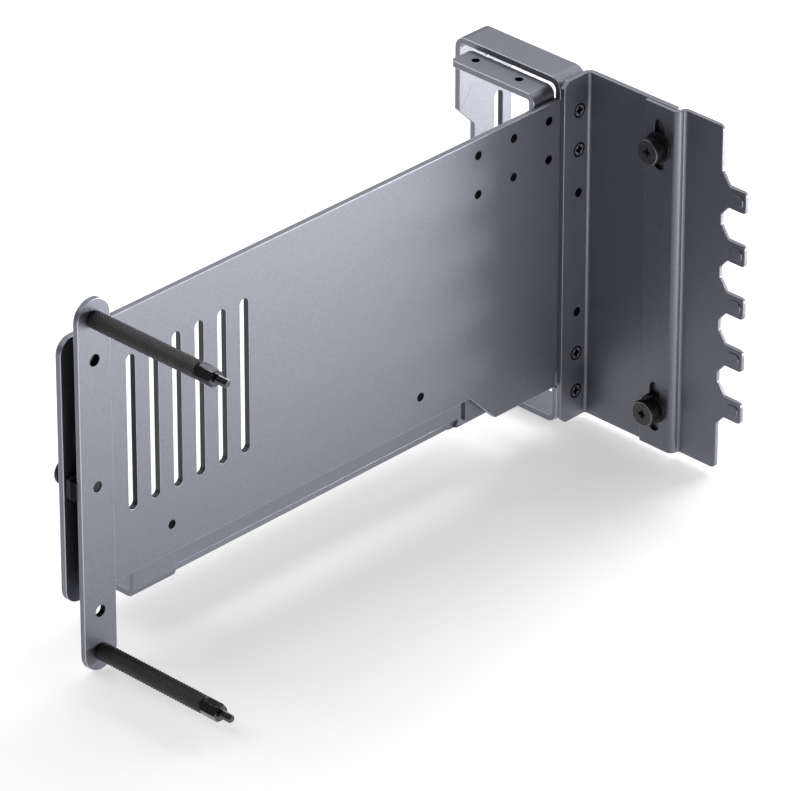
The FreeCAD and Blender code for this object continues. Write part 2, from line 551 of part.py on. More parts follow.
def make_washer():
    """Washer along +X from X = 0, its chamfered face towards -X."""
    washer = rod_x(WASHER / 2, 0, WASHER_T, 0, 0)
    rim = [edge for edge in washer.Edges if edge.Closed and edge.CenterOfMass.x < WASHER_T / 2]
    washer = washer.makeChamfer(0.3, rim)
    return washer.cut(rod_x(WASHER_BORE / 2, -1, WASHER_T + 1, 0, 0))


def on_comb(shape, z):
    """Thumbscrew or washer carried to the comb's flange."""
    shape.translate(Vector(COMB_FACE - SLIDE_GAP - WASHER_T, THUMB_Y, z))
    return shape


def on_clamp(shape):
    """Thumbscrew or washer turned to face -Y and carried behind the back plate."""
    shape.rotate(Vector(0, 0, 0), Vector(0, 0, 1), -90)
    shape.translate(Vector(BOARD_HOLE_X, BACK_REAR + SLIDE_GAP + WASHER_T, BAR_CENTRE_Z))
    return shape


def make_pillar(z):
    """Pillar: a round rod that is turned by hand, tapped at both ends."""
    end = PILLAR_SEAT
    start = end - PILLAR_LENGTH
    pillar = rod_y(PILLAR / 2, start, end, BOARD_HOLE_X, z)
    rims = [edge for edge in pillar.Edges if edge.Closed]
    pillar = pillar.makeChamfer(PILLAR_END, rims)
    bore = SMALL_THREAD / 2 + THREAD_GAP
    pillar = pillar.cut(rod_y(bore, end - PILLAR_BORE_DEPTH, end + 1, BOARD_HOLE_X, z))
    return pillar.cut(rod_y(bore, start - 1, start + PILLAR_BORE_DEPTH, BOARD_HOLE_X, z))


def make_standoff(z):
    """Hexagon with a stud for the motherboard hole and a thread up into the pillar."""
    seat = PILLAR_SEAT - PILLAR_LENGTH - SLIDE_GAP
    corner = HEX_FLATS / math.sqrt(3)
    points = [(corner * math.cos(math.radians(60 * i + 30)), corner * math.sin(math.radians(60 * i + 30)), 0)
              for i in range(6)]
    body = sheet_xz(points, 0.0, HEX_LENGTH)
    cone = Part.makeCone(corner + 0.1, HEX_FLATS / 2 - 0.2, HEX_LENGTH * 0.16,
                         Vector(0, HEX_LENGTH * 0.16, 0), Vector(0, -1, 0))
    barrel = rod_y(corner + 0.1, HEX_LENGTH * 0.16, HEX_LENGTH, 0, 0)
    body = body.common(cone.fuse(barrel))
    body.translate(Vector(BOARD_HOLE_X, seat - HEX_LENGTH, z))
    stud = rod_y(STUD / 2, seat - HEX_LENGTH - STUD_LENGTH, seat - HEX_LENGTH + 0.5, BOARD_HOLE_X, z)
    tip = min(stud.Edges, key=lambda edge: edge.CenterOfMass.y)
    stud = stud.makeChamfer(0.4, [tip])
    insert = rod_y(SMALL_THREAD / 2, seat - 0.5, seat + INSERT_LENGTH, BOARD_HOLE_X, z)
    return body.fuse(stud).fuse(insert).removeSplitter()


def make_pillar_screw(z):
    """Pan head screw from behind the bar into the pillar."""
    return make_pan_screw(BOARD_HOLE_X, z, PLATE_FRONT, PILLAR_SEAT - PILLAR_BORE_DEPTH + 2)


def build():
    """All nodes by name."""
    comb_length = THUMB_TAIL - (COMB_FACE - SLIDE_GAP - WASHER_T)
    clamp_length = BACK_REAR + SLIDE_GAP + WASHER_T - BAR_FRONT - SCREW_SHORT
    nodes = {
        "main_plate": make_main_plate(),
        "corner_bracket": make_corner_bracket(),
        "slot_comb": make_slot_comb(),
        "card_bracket": make_card_bracket(),
        "riser_tray": make_riser_tray(),
        "support_bar": make_support_bar(),
        "clamp_pad": make_pad(),
        "back_plate": make_back_plate(),
        "clamp_thumbscrew": on_clamp(make_thumbscrew(clamp_length)),
        "clamp_washer": on_clamp(make_washer()),
    }
    for name, sign in (("upper", 1), ("lower", -1)):
        z = sign * THUMB_Z
        nodes["comb_thumbscrew_" + name] = on_comb(make_thumbscrew(comb_length), z)
        nodes["comb_washer_" + name] = on_comb(make_washer(), z)
    for name, z in zip(("upper", "lower"), PILLAR_ROWS):
        nodes["pillar_" + name] = make_pillar(z)
        nodes["standoff_" + name] = make_standoff(z)
        nodes["pillar_screw_" + name] = make_pillar_screw(z)
    for i, z in enumerate(CORNER_SCREW_ROWS, 1):
        nodes["corner_screw_%d" % i] = make_corner_screw(z)
    for i, z in enumerate(CARD_ROWS, 1):
        nodes["card_bracket_screw_%d" % i] = make_pan_screw(CARD_COLUMNS[0], z, SHELF_BACK,
                                                            PLATE_FRONT + SCREW_SHORT)
    for name, x in zip(("left", "right"), TRAY_SCREW_X):
        nodes["tray_screw_" + name] = make_pan_screw(x, TRAY_SCREW_Z, SHELF_BACK,
                                                  PLATE_FRONT + SCREW_SHORT)
    return nodes


os.makedirs("parts", exist_ok=True)
for name, shape in build().items():
    solids = shape.Solids
    print("%-24s solids %d valid %s volume %.1f mm3" % (name, len(solids), shape.isValid(), shape.Volume))
    solid = solids[0] if len(solids) == 1 else Part.makeCompound(solids)
    solid.exportStep(os.path.join("parts", name + ".step"))
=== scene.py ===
import json
import logging
import math
from collections.abc import Callable, Iterable
from dataclasses import dataclass, field
from enum import Enum

import bmesh
import bpy
import numpy as np
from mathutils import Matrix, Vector

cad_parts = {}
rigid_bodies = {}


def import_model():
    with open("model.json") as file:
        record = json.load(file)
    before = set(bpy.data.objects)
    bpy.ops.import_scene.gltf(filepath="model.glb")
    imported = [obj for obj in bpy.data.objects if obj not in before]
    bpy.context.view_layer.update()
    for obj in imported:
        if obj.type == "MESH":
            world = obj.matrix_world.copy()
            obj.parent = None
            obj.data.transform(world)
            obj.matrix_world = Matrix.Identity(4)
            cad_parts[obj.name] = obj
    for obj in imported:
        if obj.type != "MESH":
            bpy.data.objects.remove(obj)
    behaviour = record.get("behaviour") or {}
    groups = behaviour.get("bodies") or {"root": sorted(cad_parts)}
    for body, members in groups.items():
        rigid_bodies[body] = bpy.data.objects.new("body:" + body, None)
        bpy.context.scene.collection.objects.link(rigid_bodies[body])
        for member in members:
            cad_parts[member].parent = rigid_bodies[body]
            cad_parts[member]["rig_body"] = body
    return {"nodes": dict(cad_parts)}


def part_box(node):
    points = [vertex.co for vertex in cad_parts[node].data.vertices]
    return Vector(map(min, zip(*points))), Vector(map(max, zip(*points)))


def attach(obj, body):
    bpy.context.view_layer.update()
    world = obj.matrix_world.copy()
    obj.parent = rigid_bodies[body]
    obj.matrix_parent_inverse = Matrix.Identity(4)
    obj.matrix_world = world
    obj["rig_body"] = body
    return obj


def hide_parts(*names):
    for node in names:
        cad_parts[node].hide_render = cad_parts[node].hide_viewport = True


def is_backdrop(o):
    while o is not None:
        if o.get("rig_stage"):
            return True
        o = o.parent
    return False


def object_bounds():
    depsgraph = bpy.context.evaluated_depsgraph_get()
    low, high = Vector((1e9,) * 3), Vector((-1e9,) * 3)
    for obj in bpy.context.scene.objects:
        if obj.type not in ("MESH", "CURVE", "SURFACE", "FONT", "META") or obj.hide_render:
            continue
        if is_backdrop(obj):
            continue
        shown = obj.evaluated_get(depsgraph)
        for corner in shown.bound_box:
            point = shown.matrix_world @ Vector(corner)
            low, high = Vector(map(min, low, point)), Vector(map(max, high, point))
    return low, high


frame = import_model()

MM = 0.001
IMAGE_SIDE = 791        # pixels of the photograph
SAME_PLACE = 1e-7       # metres: points this close are one
NEARLY_SAME = 1e-6      # metres: the same in a rounded copy
NOISE_RANGE = (0.3, 0.7)  # the grain's noise is nearly always within these numbers
ACROSS = 0.9            # a face lies across an axis when its direction's share of it is larger
CAP_REACH = 0.211       # from a corner to its rounded cap, as a share of the skins' shifts
ARC_BULGE = 0.414       # how far the middle of a rounding bulges towards the sharp edge
SHADE = "shade"         # layer with the direction that each face's corners are shaded by

log = logging.getLogger("mount")
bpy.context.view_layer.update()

Colour = tuple[float, float, float]
Point = tuple[float, float, float]
Radius = Callable[[float], float]   # the radius of a ring at an angle
Ring = tuple[float, Radius]         # its Y and its radius
Polygon = tuple[int, ...]           # the corner numbers of a face
Face, Edge, Corner = bmesh.types.BMFace, bmesh.types.BMEdge, bmesh.types.BMVert


class Slot(Enum):
    """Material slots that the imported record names."""

    PLATE = "plate_paint"
    KNURL = "knurled_steel"
    CHROME = "black_chrome"
    SCREW = "black_screw"
    SMALL = "small_screw"


class Side(Enum):
    """The two ends of the mount along Z."""

    UPPER = "upper"
    LOWER = "lower"


class Zone(Enum):
    """Parts of a piece's surface, as material numbers of its mesh."""

    FACE = 0
    EDGE = 1
    BORE = 2
    SLIT = 3


Zones = dict[Face, Zone]


@dataclass(frozen=True)
class MetalFinish:
    """Metal with a fine grain in its colour, its gloss and its relief.

    Attributes:
        name: Name of the material.
        colour: Middle colour, linear.
        metallic: 1 for bare metal, less where a lacquer scatters light.
        roughness: Middle roughness.
        grain: Size of the grain in millimetres.
        colour_spread: Lightest and darkest grain differ from the middle by this share.
        rough_spread: The same for the roughness, as a number.
        relief: Height of the grain in millimetres.
        octaves: The noise is the sum of this many finer ones besides the first.
        fading: Strength of each of them beside the one before.
    """

    name: str
    colour: Colour
    metallic: float
    roughness: float
    grain: float = 0.45
    colour_spread: float = 0.08
    rough_spread: float = 0.05
    relief: float = 0.004
    octaves: float = 2.0
    fading: float = 0.6

    def vary_colour(self, tree: bpy.types.NodeTree, noise: bpy.types.NodeSocket,
                    colour: bpy.types.NodeSocket) -> None:
        """Lets the colour follow the grain.

        Args:
            tree: The material's nodes.
            noise: The grain's noise.
            colour: The shader's colour.
        """
        ramp = tree.nodes.new("ShaderNodeValToRGB")
        for element, place, side in zip(ramp.color_ramp.elements, NOISE_RANGE, (-1, 1)):
            share = 1.0 + side * self.colour_spread
            element.position = place
            element.color = (*(c * share for c in self.colour), 1.0)
        tree.links.new(noise, ramp.inputs["Fac"])
        tree.links.new(ramp.outputs["Color"], colour)

    def vary_gloss(self, tree: bpy.types.NodeTree, noise: bpy.types.NodeSocket,
                   roughness: bpy.types.NodeSocket) -> None:
        """Lets the roughness follow the grain.

        Args:
            tree: The material's nodes.
            noise: The grain's noise.
            roughness: The shader's roughness.
        """
        gloss = tree.nodes.new("ShaderNodeMapRange")
        gloss.inputs["From Min"].default_value = NOISE_RANGE[0]
        gloss.inputs["From Max"].default_value = NOISE_RANGE[1]
        gloss.inputs["To Min"].default_value = self.roughness - self.rough_spread
        gloss.inputs["To Max"].default_value = self.roughness + self.rough_spread
        tree.links.new(noise, gloss.inputs["Value"])
        tree.links.new(gloss.outputs["Result"], roughness)

    def add_relief(self, tree: bpy.types.NodeTree, noise: bpy.types.NodeSocket,
                   normal: bpy.types.NodeSocket) -> None:
        """Raises the grain a little.

        Args:
            tree: The material's nodes.
            noise: The grain's noise.
            normal: The shader's normal.
        """
        bump = tree.nodes.new("ShaderNodeBump")
        bump.inputs["Distance"].default_value = self.relief * MM
        tree.links.new(noise, bump.inputs["Height"])
        tree.links.new(bump.outputs["Normal"], normal)

    def material(self) -> bpy.types.Material:
        """Builds the material, or finds it if it has been built.

        Returns:
            The material, with noise in the object's own coordinates.
        """
        known = bpy.data.materials.get(self.name)
        if known:
            return known
        made = bpy.data.materials.new(self.name)
        made.use_nodes = True
        tree = made.node_tree
        shader = tree.nodes["Principled BSDF"]
        shader.inputs["Metallic"].default_value = self.metallic
        place = tree.nodes.new("ShaderNodeTexCoord")
        noise = tree.nodes.new("ShaderNodeTexNoise")
        noise.inputs["Scale"].default_value = 1.0 / (self.grain * MM)
        noise.inputs["Detail"].default_value = self.octaves
        noise.inputs["Roughness"].default_value = self.fading
        tree.links.new(place.outputs["Object"], noise.inputs["Vector"])
        self.vary_colour(tree, noise.outputs["Fac"], shader.inputs["Base Color"])
        self.vary_gloss(tree, noise.outputs["Fac"], shader.inputs["Roughness"])
        if self.relief:
            self.add_relief(tree, noise.outputs["Fac"], shader.inputs["Normal"])
        return made


SHEET = MetalFinish("blasted_sheet", (0.201, 0.206, 0.233), 1.0, 0.48, grain=0.34,
                    colour_spread=0.20, rough_spread=0.07)
# Painted highlight: the rounded edges of most sheets are coloured far lighter than their faces.
PAINTED_HIGHLIGHT_EDGE = MetalFinish("edge_painted_highlight", (0.50, 0.51, 0.55), 1.0, 0.32, grain=0.8,
                         colour_spread=0.05, rough_spread=0.03, relief=0.0)
# A weaker painted highlight, for the edges of the sheets that lie in more shade.
WEAK_PAINTED_HIGHLIGHT_EDGE = MetalFinish("dull_edge_painted_highlight", (0.27, 0.275, 0.30), 1.0, 0.33, grain=0.6,
                        colour_spread=0.10, rough_spread=0.04, relief=0.0)
# Painted shade: near-black for the walls of small holes, the main plate's tongue behind the bar,
# and the rims and recesses of the small screws.
PAINTED_SHADE_HOLE = MetalFinish("hole_wall_painted_shade", (0.005, 0.005, 0.005), 1.0, 0.60, grain=0.4, relief=0.0)
# Painted shade on the walls of narrow slits.
PAINTED_SHADE_SLIT = MetalFinish("slit_wall_painted_shade", (0.055, 0.056, 0.062), 0.9, 0.42, grain=0.4, relief=0.0)
# Painted shade: the pad in the gap behind the support bar is near-black.
PAINTED_SHADE_PAD = MetalFinish("pad_painted_shade", (0.022, 0.022, 0.024), 0.3, 0.60, grain=0.5)
# Partly the knurl's bright steel, partly painted light: the crests are near-white and barely
# metallic because the lamps leave the pillars dim.
KNURL = MetalFinish("knurled_steel", (0.94, 0.94, 0.96), 0.1, 0.24, grain=0.3, relief=0.0)
# Painted shade down in the knurl's grooves.
PAINTED_SHADE_GROOVE = MetalFinish("knurl_groove_painted_shade", (0.045, 0.045, 0.047), 0.8, 0.38, grain=0.3, relief=0.0)
CHROME = MetalFinish("black_chrome", (0.045, 0.045, 0.048), 1.0, 0.13, grain=0.6,
                     colour_spread=0.05, rough_spread=0.03, relief=0.0)
OXIDE = MetalFinish("black_oxide", (0.075, 0.075, 0.078), 0.55, 0.42, grain=0.35)
# Painted highlight on the rounded rims of the thumbscrews' heads.
OXIDE_PAINTED_HIGHLIGHT = MetalFinish("black_oxide_painted_highlight", (0.28, 0.28, 0.285), 0.9, 0.30, grain=0.35,
                         relief=0.0)
# Painted shade on the thumbscrews' recesses and sides, darker than their tops.
OXIDE_PAINTED_SHADE = MetalFinish("black_oxide_painted_shade", (0.014, 0.014, 0.016), 0.5, 0.45, grain=0.35,
                         relief=0.0)
ZINC = MetalFinish("black_zinc", (0.42, 0.42, 0.435), 1.0, 0.32, grain=0.3, relief=0.0)


@dataclass(frozen=True)
class Coat:
    """Finishes of a piece.

    Attributes:
        face: On its faces, and on the top of a screw's head.
        edge: On its rounded edges: a painted highlight on the sheets and thumbscrews, painted
            shade on the small screws and the pad.
        bore: Painted shade in small holes, and on a screw's recess and sides.
        slit: Painted shade in narrow slits.
    """

    face: MetalFinish
    edge: MetalFinish
    bore: MetalFinish
    slit: MetalFinish


def link_mesh(name: str, mesh: bpy.types.Mesh) -> bpy.types.Object:
    """Makes an object of a mesh and links it to the scene.

    Args:
        name: Name of the object.
        mesh: Its mesh.

    Returns:
        The object.
    """
    made = bpy.data.objects.new(name, mesh)
    bpy.context.scene.collection.objects.link(made)
    return made


def make_object(name: str, points: list[Point], faces: list[Polygon],
                sharp: float) -> bpy.types.Object:
    """Makes a clean mesh object from points in millimetres.

    Args:
        name: Name of the piece.
        points: Corners in the shared frame, in millimetres.
        faces: Corner numbers of each face.
        sharp: Edges folded by more than this many degrees stay sharp.

    Returns:
        The new object, linked to the scene.
    """
    mesh = bpy.data.meshes.new(name)
    mesh.from_pydata([tuple(c * MM for c in point) for point in points], [], faces)
    work = bmesh.new()
    work.from_mesh(mesh)
    bmesh.ops.remove_doubles(work, verts=work.verts, dist=SAME_PLACE)
    bmesh.ops.recalc_face_normals(work, faces=work.faces)
    limit = math.radians(sharp)
    for edge in work.edges:
        edge.smooth = edge.calc_face_angle(0.0) < limit
    for face in work.faces:
        face.smooth = True
    work.to_mesh(mesh)
    work.free()
    return link_mesh(name, mesh)


def even(radius: float) -> Radius:
    """A ring of one radius all round."""
    return lambda angle: radius


def wrap_rod(axis_x: float, axis_z: float, rows: list[Ring],
             columns: int) -> tuple[list[Point], list[Polygon]]:
    """Points and faces of a closed rod along Y whose radius may change round and along it.

    Args:
        axis_x: X of the rod's axis.
        axis_z: Z of the rod's axis.
        rows: For each ring its Y and the radius at an angle.
        columns: Number of points in a ring.

    Returns:
        Points in millimetres and faces, with a flat face at both ends.
    """
    points: list[Point] = []
    for y, radius in rows:
        for i in range(columns):
            angle = 2 * math.pi * i / columns
            r = radius(angle)
            points.append((axis_x + r * math.cos(angle), y, axis_z + r * math.sin(angle)))
    faces: list[Polygon] = []
    for j in range(len(rows) - 1):
        low, high = j * columns, (j + 1) * columns
        for i in range(columns):
            k = (i + 1) % columns
            faces.append((low + i, low + k, high + k, high + i))
    last = (len(rows) - 1) * columns
    faces.append(tuple(range(columns - 1, -1, -1)))
    faces.append(tuple(range(last, last + columns)))
    return points, faces


@dataclass
class SoftCopy:
    """The rounded copy of a solid while it is being built.

    Attributes:
        mesh: Its mesh.
        facing: The direction that each of its points is shaded by.
        skins: The point that stands for a corner of the solid in a face there.
        caps: The middle of the cap over a corner where three or more skins meet.
        middles: The point halfway round a rounding, at a corner and in most cases an edge.
        shade: Layer of the mesh for the directions.
    """

    mesh: bmesh.types.BMesh = field(default_factory=bmesh.new)
    facing: dict[Corner, Vector] = field(default_factory=dict)
    skins: dict[tuple[Corner, Face], Corner] = field(default_factory=dict)
    caps: dict[Corner, Corner] = field(default_factory=dict)
    middles: dict[tuple[Corner, Edge | None], Corner] = field(default_factory=dict)
    shade: bmesh.types.BMLayerItem = field(init=False)

    def __post_init__(self) -> None:
        """Adds the layer for the directions."""
        self.shade = self.mesh.loops.layers.float_vector.new(SHADE)

    def add(self, place: Vector, facing: Vector) -> Corner:
        """Adds a point.

        Args:
            place: Where it is, in metres.
            facing: The direction it is shaded by.

        Returns:
            The point.
        """
        point = self.mesh.verts.new(place)
        self.facing[point] = facing.normalized()
        return point

    def raise_corner(self, vert: Corner, fans: list[list[Face]], shifts: list[Vector]) -> None:
        """Adds a point for each skin at a corner, and the middle of the cap over it.

        Args:
            vert: The corner of the solid.
            fans: The faces of each skin round it.
            shifts: How far each skin's point is drawn back.
        """
        for fan, shift in zip(fans, shifts):
            facing = sum((face.normal * face.calc_area() for face in fan), Vector())
            point = self.add(vert.co + shift, facing)
            for face in fan:
                self.skins[vert, face] = point
        if len(fans) > 2:
            facing = sum((self.facing[self.skins[vert, fan[0]]] for fan in fans), Vector())
            self.caps[vert] = self.add(vert.co + sum(shifts, Vector()) * CAP_REACH, facing)

    def middle(self, vert: Corner, edge: Edge) -> Corner:
        """Finds or adds the point halfway round a rounding.

        Args:
            vert: An end of the edge.
            edge: The folded edge of the solid.

        Returns:
            The point.
        """
        key = (vert, edge) if vert in self.caps else (vert, None)
        if key not in self.middles:
            one, two = (self.skins[vert, face] for face in edge.link_faces)
            half = (one.co + two.co) / 2 - vert.co
            along = (edge.verts[1].co - edge.verts[0].co).normalized()
            rise = half - along * half.dot(along)
            self.middles[key] = self.add(vert.co + half - rise * ARC_BULGE,
                                         self.facing[one] + self.facing[two])
        return self.middles[key]

    def cover(self, points: list[Corner], zone: Zone) -> None:
        """Adds a face, leaving out points that follow themselves.

        Args:
            points: The points round it.
            zone: Its zone.
        """
        ring = [point for i, point in enumerate(points) if point is not points[i - 1]]
        if len(set(ring)) == len(ring) > 2:
            try:
                made = self.mesh.faces.new(ring)
            except ValueError:
                return  # there is a face with these corners already
            made.material_index, made.smooth = zone.value, True
            for loop in made.loops:
                loop[self.shade] = self.facing[loop.vert]

    def round_edge(self, edge: Edge, zone: Zone) -> None:
        """Covers a folded edge with two strips, and its share of the caps at its ends.

        Args:
            edge: The edge of the solid.
            zone: The zone of the rounding.
        """
        first, second = edge.link_faces
        start, end = edge.verts
        middles = (self.middle(start, edge), self.middle(end, edge))
        self.cover([self.skins[start, first], self.skins[end, first], middles[1], middles[0]],
                   zone)
        self.cover([middles[0], middles[1], self.skins[end, second], self.skins[start, second]],
                   zone)
        for vert, middle in zip((start, end), middles):
            if vert in self.caps:
                self.cover([self.caps[vert], self.skins[vert, first], middle], zone)
                self.cover([self.caps[vert], middle, self.skins[vert, second]], zone)

    def finish(self, name: str) -> bpy.types.Object:
        """Closes the mesh and makes it an object.

        Args:
            name: Name of the object.

        Returns:
            The object, shaded by the directions of its points.
        """
        bmesh.ops.remove_doubles(self.mesh, verts=self.mesh.verts, dist=NEARLY_SAME)
        bmesh.ops.dissolve_degenerate(self.mesh, edges=self.mesh.edges, dist=NEARLY_SAME)
        bmesh.ops.recalc_face_normals(self.mesh, faces=self.mesh.faces)
        mesh = bpy.data.meshes.new(name)
        self.mesh.to_mesh(mesh)
        self.mesh.free()
        directions = np.zeros(len(mesh.loops) * 3, dtype=np.float32)
        mesh.attributes[SHADE].data.foreach_get("vector", directions)
        mesh.normals_split_custom_set(directions.reshape(-1, 3).tolist())
        mesh.attributes.remove(mesh.attributes[SHADE])
        return link_mesh(name, mesh)


@dataclass
class SoftEdges:
    """Copies a solid with each outside edge rounded and each inside edge kept.

    The faces that meet without a fold form one skin. Round a corner of the solid each skin gets
    its own point, drawn back from the folded edges by the width of the rounding, and strips over
    the edges and a small cap over the corner close the gap. Each skin keeps its own shading, so
    that flat faces look flat.

    Attributes:
        width: Width of the rounding in millimetres.
        bore_width: The same round the mouths of small holes and slots.
        bore_reach: Holes and slots up to this many millimetres wide are small.
        bore_faces: The wall of a small hole has at least this many faces.
        bore_lean: The mean direction of such a wall's faces is shorter than this.
        fold: Edges folded by more than this many degrees are rounded.
        seam: Corners of the solid this many millimetres apart are one.
        sliver: Faces thinner than this many millimetres have no direction of their own.
        sliver_passes: Slivers side by side are looked at this many times.
        straight: Two ways from a corner are one where their cosine is above this.
        opposed: They are opposite where it is below this.
    """

    width: float = 0.3
    bore_width: float = 0.1
    bore_reach: float = 7.5
    bore_faces: int = 8
    bore_lean: float = 0.8
    fold: float = 32.0
    seam: float = 0.004
    sliver: float = 0.002
    sliver_passes: int = 3
    straight: float = 0.995
    opposed: float = -0.9

    def steady_slivers(self, solid: bmesh.types.BMesh) -> None:
        """Gives each needle-thin face the direction of the face across its longest edge.

        Args:
            solid: The mesh to be copied, whose own directions are up to date.
        """
        for _ in range(self.sliver_passes):
            for face in solid.faces:
                longest = max(face.edges, key=lambda edge: edge.calc_length())
                if 2 * face.calc_area() < longest.calc_length() * self.sliver * MM:
                    others = [other for other in longest.link_faces if other is not face]
                    if others:
                        face.normal = others[0].normal

    def is_fold(self, edge: Edge) -> bool:
        """Whether two skins meet at the edge."""
        first, second = edge.link_faces
        return first.normal.angle(second.normal, 0.0) > math.radians(self.fold)

    def group(self, faces: Iterable[Face], vert: Corner | None = None) -> list[list[Face]]:
        """Groups faces that edges without a fold join.

        Args:
            faces: The faces.
            vert: If given, only the edges at this corner join them.

        Returns:
            The groups, in the same order each time.
        """
        left, groups = dict.fromkeys(faces), []
        while left:
            found, front = [], [left.popitem()[0]]
            while front:
                face = front.pop()
                found.append(face)
                for edge in face.edges:
                    if (vert is None or vert in edge.verts) and not self.is_fold(edge):
                        for other in edge.link_faces:
                            if other in left:
                                del left[other]
                                front.append(other)
            groups.append(found)
        return groups

    def zone_of(self, skin: list[Face]) -> Zone:
        """Finds the zone of a skin.

        Args:
            skin: Its faces.

        Returns:
            BORE for the wall of a small hole, SLIT for that of a narrow slit, FACE for the rest.
        """
        middles = [face.calc_center_median() for face in skin]
        areas = [face.calc_area() for face in skin]
        total = sum(areas) or 1.0
        centre = sum((m * a for m, a in zip(middles, areas)), Vector()) / total
        lean = sum((f.normal * a for f, a in zip(skin, areas)), Vector()).length / total
        hollow = sum(f.normal.dot(centre - m) * a for f, m, a in zip(skin, middles, areas)) > 0
        corners = np.array([vert.co for face in skin for vert in face.verts])
        _, across, length = sorted(np.ptp(corners, axis=0) / MM)
        many = len(skin) >= self.bore_faces
        if not (many and lean < self.bore_lean and hollow and across < self.bore_reach):
            return Zone.FACE
        return Zone.BORE if length < self.bore_reach else Zone.SLIT

    def zones(self, solid: bmesh.types.BMesh) -> Zones:
        """Finds the walls of small holes.

        Args:
            solid: The mesh to be copied.

        Returns:
            The zone of each face.
        """
        found = {}
        for skin in self.group(solid.faces):
            zone = self.zone_of(skin)
            found.update((face, zone) for face in skin)
        return found

    def strip_zone(self, edge: Edge, zones: Zones) -> Zone:
        """Zone of the rounding of an edge: the rims of small holes take the same painted shade as
        their walls.
        """
        return Zone.BORE if Zone.BORE in [zones[face] for face in edge.link_faces] else Zone.EDGE

    def is_mouth(self, edge: Edge, zones: Zones) -> bool:
        """Whether the edge goes round the mouth of a small hole."""
        return any(zones[face] in (Zone.BORE, Zone.SLIT) for face in edge.link_faces)

    def inward(self, edge: Edge, face: Face) -> Vector:
        """Finds the way into a face.

        Args:
            edge: An edge of the face.
            face: The face.

        Returns:
            The direction in the face that leads straight away from the edge.
        """
        along = (edge.verts[1].co - edge.verts[0].co).normalized()
        across = face.normal.cross(along)
        middle = (edge.verts[0].co + edge.verts[1].co) / 2
        return across if across.dot(face.calc_center_median() - middle) > 0 else -across

    def shift(self, vert: Corner, fan: list[Face], zones: Zones) -> Vector:
        """How far a skin's point is drawn back from a corner.

        Args:
            vert: The corner.
            fan: The skin's faces round it.
            zones: The zone of each face.

        Returns:
            The way from the corner to the skin's point, in metres.
        """
        sides = []
        for edge in vert.link_edges:
            own = [face for face in edge.link_faces if face in fan]
            if len(own) == 1 and self.is_fold(edge):
                width = self.bore_width if self.is_mouth(edge, zones) else self.width
                outside = edge.calc_face_angle_signed(0.0) > 0
                sides.append((self.inward(edge, own[0]), width * MM if outside else 0.0))
        if len(sides) != 2:
            return Vector()
        (first, one), (second, two) = sides
        cosine = first.dot(second)
        if cosine > self.straight:
            return (first + second).normalized() * ((one + two) / 2)
        if cosine < self.opposed:
            return Vector()
        free = 1 - cosine * cosine
        return first * ((one - cosine * two) / free) + second * ((two - cosine * one) / free)

    def copy(self, node: bpy.types.Object, name: str) -> bpy.types.Object:
        """Builds the rounded copy.

        Args:
            node: The solid's object, which stays as it is.
            name: Name of the copy.

        Returns:
            The copy, with a material number from Zone on each face.
        """
        solid = bmesh.new()
        solid.from_mesh(node.data)
        bmesh.ops.remove_doubles(solid, verts=solid.verts, dist=self.seam * MM)
        bmesh.ops.dissolve_degenerate(solid, edges=solid.edges, dist=SAME_PLACE)
        solid.normal_update()
        self.steady_slivers(solid)
        zones = self.zones(solid)
        soft = SoftCopy()
        for vert in solid.verts:
            fans = self.group(vert.link_faces, vert)
            soft.raise_corner(vert, fans, [self.shift(vert, fan, zones) for fan in fans])
        for face in solid.faces:
            soft.cover([soft.skins[vert, face] for vert in face.verts], zones[face])
        for edge in solid.edges:
            if self.is_fold(edge):
                soft.round_edge(edge, self.strip_zone(edge, zones))
        solid.free()
        return soft.finish(name)


@dataclass
class ScrewEdges(SoftEdges):
    """Rounds a screw, and keeps the top of its head apart from its recess and its sides, which
    take painted shade.

    Attributes:
        axis: Number of the axis the screw lies along.
        top_depth: The head's top is this many millimetres deep at most.
        centre: Middle of the screw, found as its zones are.
    """

    axis: int = 1
    top_depth: float = 0.03
    centre: Vector = field(default_factory=Vector, init=False)

    def zones(self, solid: bmesh.types.BMesh) -> Zones:
        """Finds the top of the head, the larger one of the two ends.

        Args:
            solid: The mesh to be copied.

        Returns:
            FACE for the faces of that top, and BORE for all else.
        """
        self.centre = sum((vert.co for vert in solid.verts), Vector()) / len(solid.verts)
        places = [vert.co[self.axis] for vert in solid.verts]
        ends = [[face for face in solid.faces if abs(face.normal[self.axis]) > ACROSS
                 and abs(face.calc_center_median()[self.axis] - limit) < self.top_depth * MM]
                for limit in (min(places), max(places))]
        top = set(max(ends, key=lambda faces: sum(face.calc_area() for face in faces)))
        return {face: Zone.FACE if face in top else Zone.BORE for face in solid.faces}

    def strip_zone(self, edge: Edge, zones: Zones) -> Zone:
        """Tells the rim of a head from that of its recess.

        Args:
            edge: The folded edge.
            zones: The zone of each face.

        Returns:
            EDGE round the outside of a head, and BORE round its recess and elsewhere.
        """
        walls = [face for face in edge.link_faces if abs(face.normal[self.axis]) < ACROSS]
        if not walls or all(zones[face] is Zone.BORE for face in edge.link_faces):
            return Zone.BORE
        wall = max(walls, key=lambda face: face.calc_area())
        away = wall.calc_center_median() - self.centre
        away[self.axis] = 0.0
        return Zone.EDGE if wall.normal.dot(away) > 0 else Zone.BORE

    def is_mouth(self, edge: Edge, zones: Zones) -> bool:
        """Whether the edge goes round the recess."""
        return self.strip_zone(edge, zones) is Zone.BORE


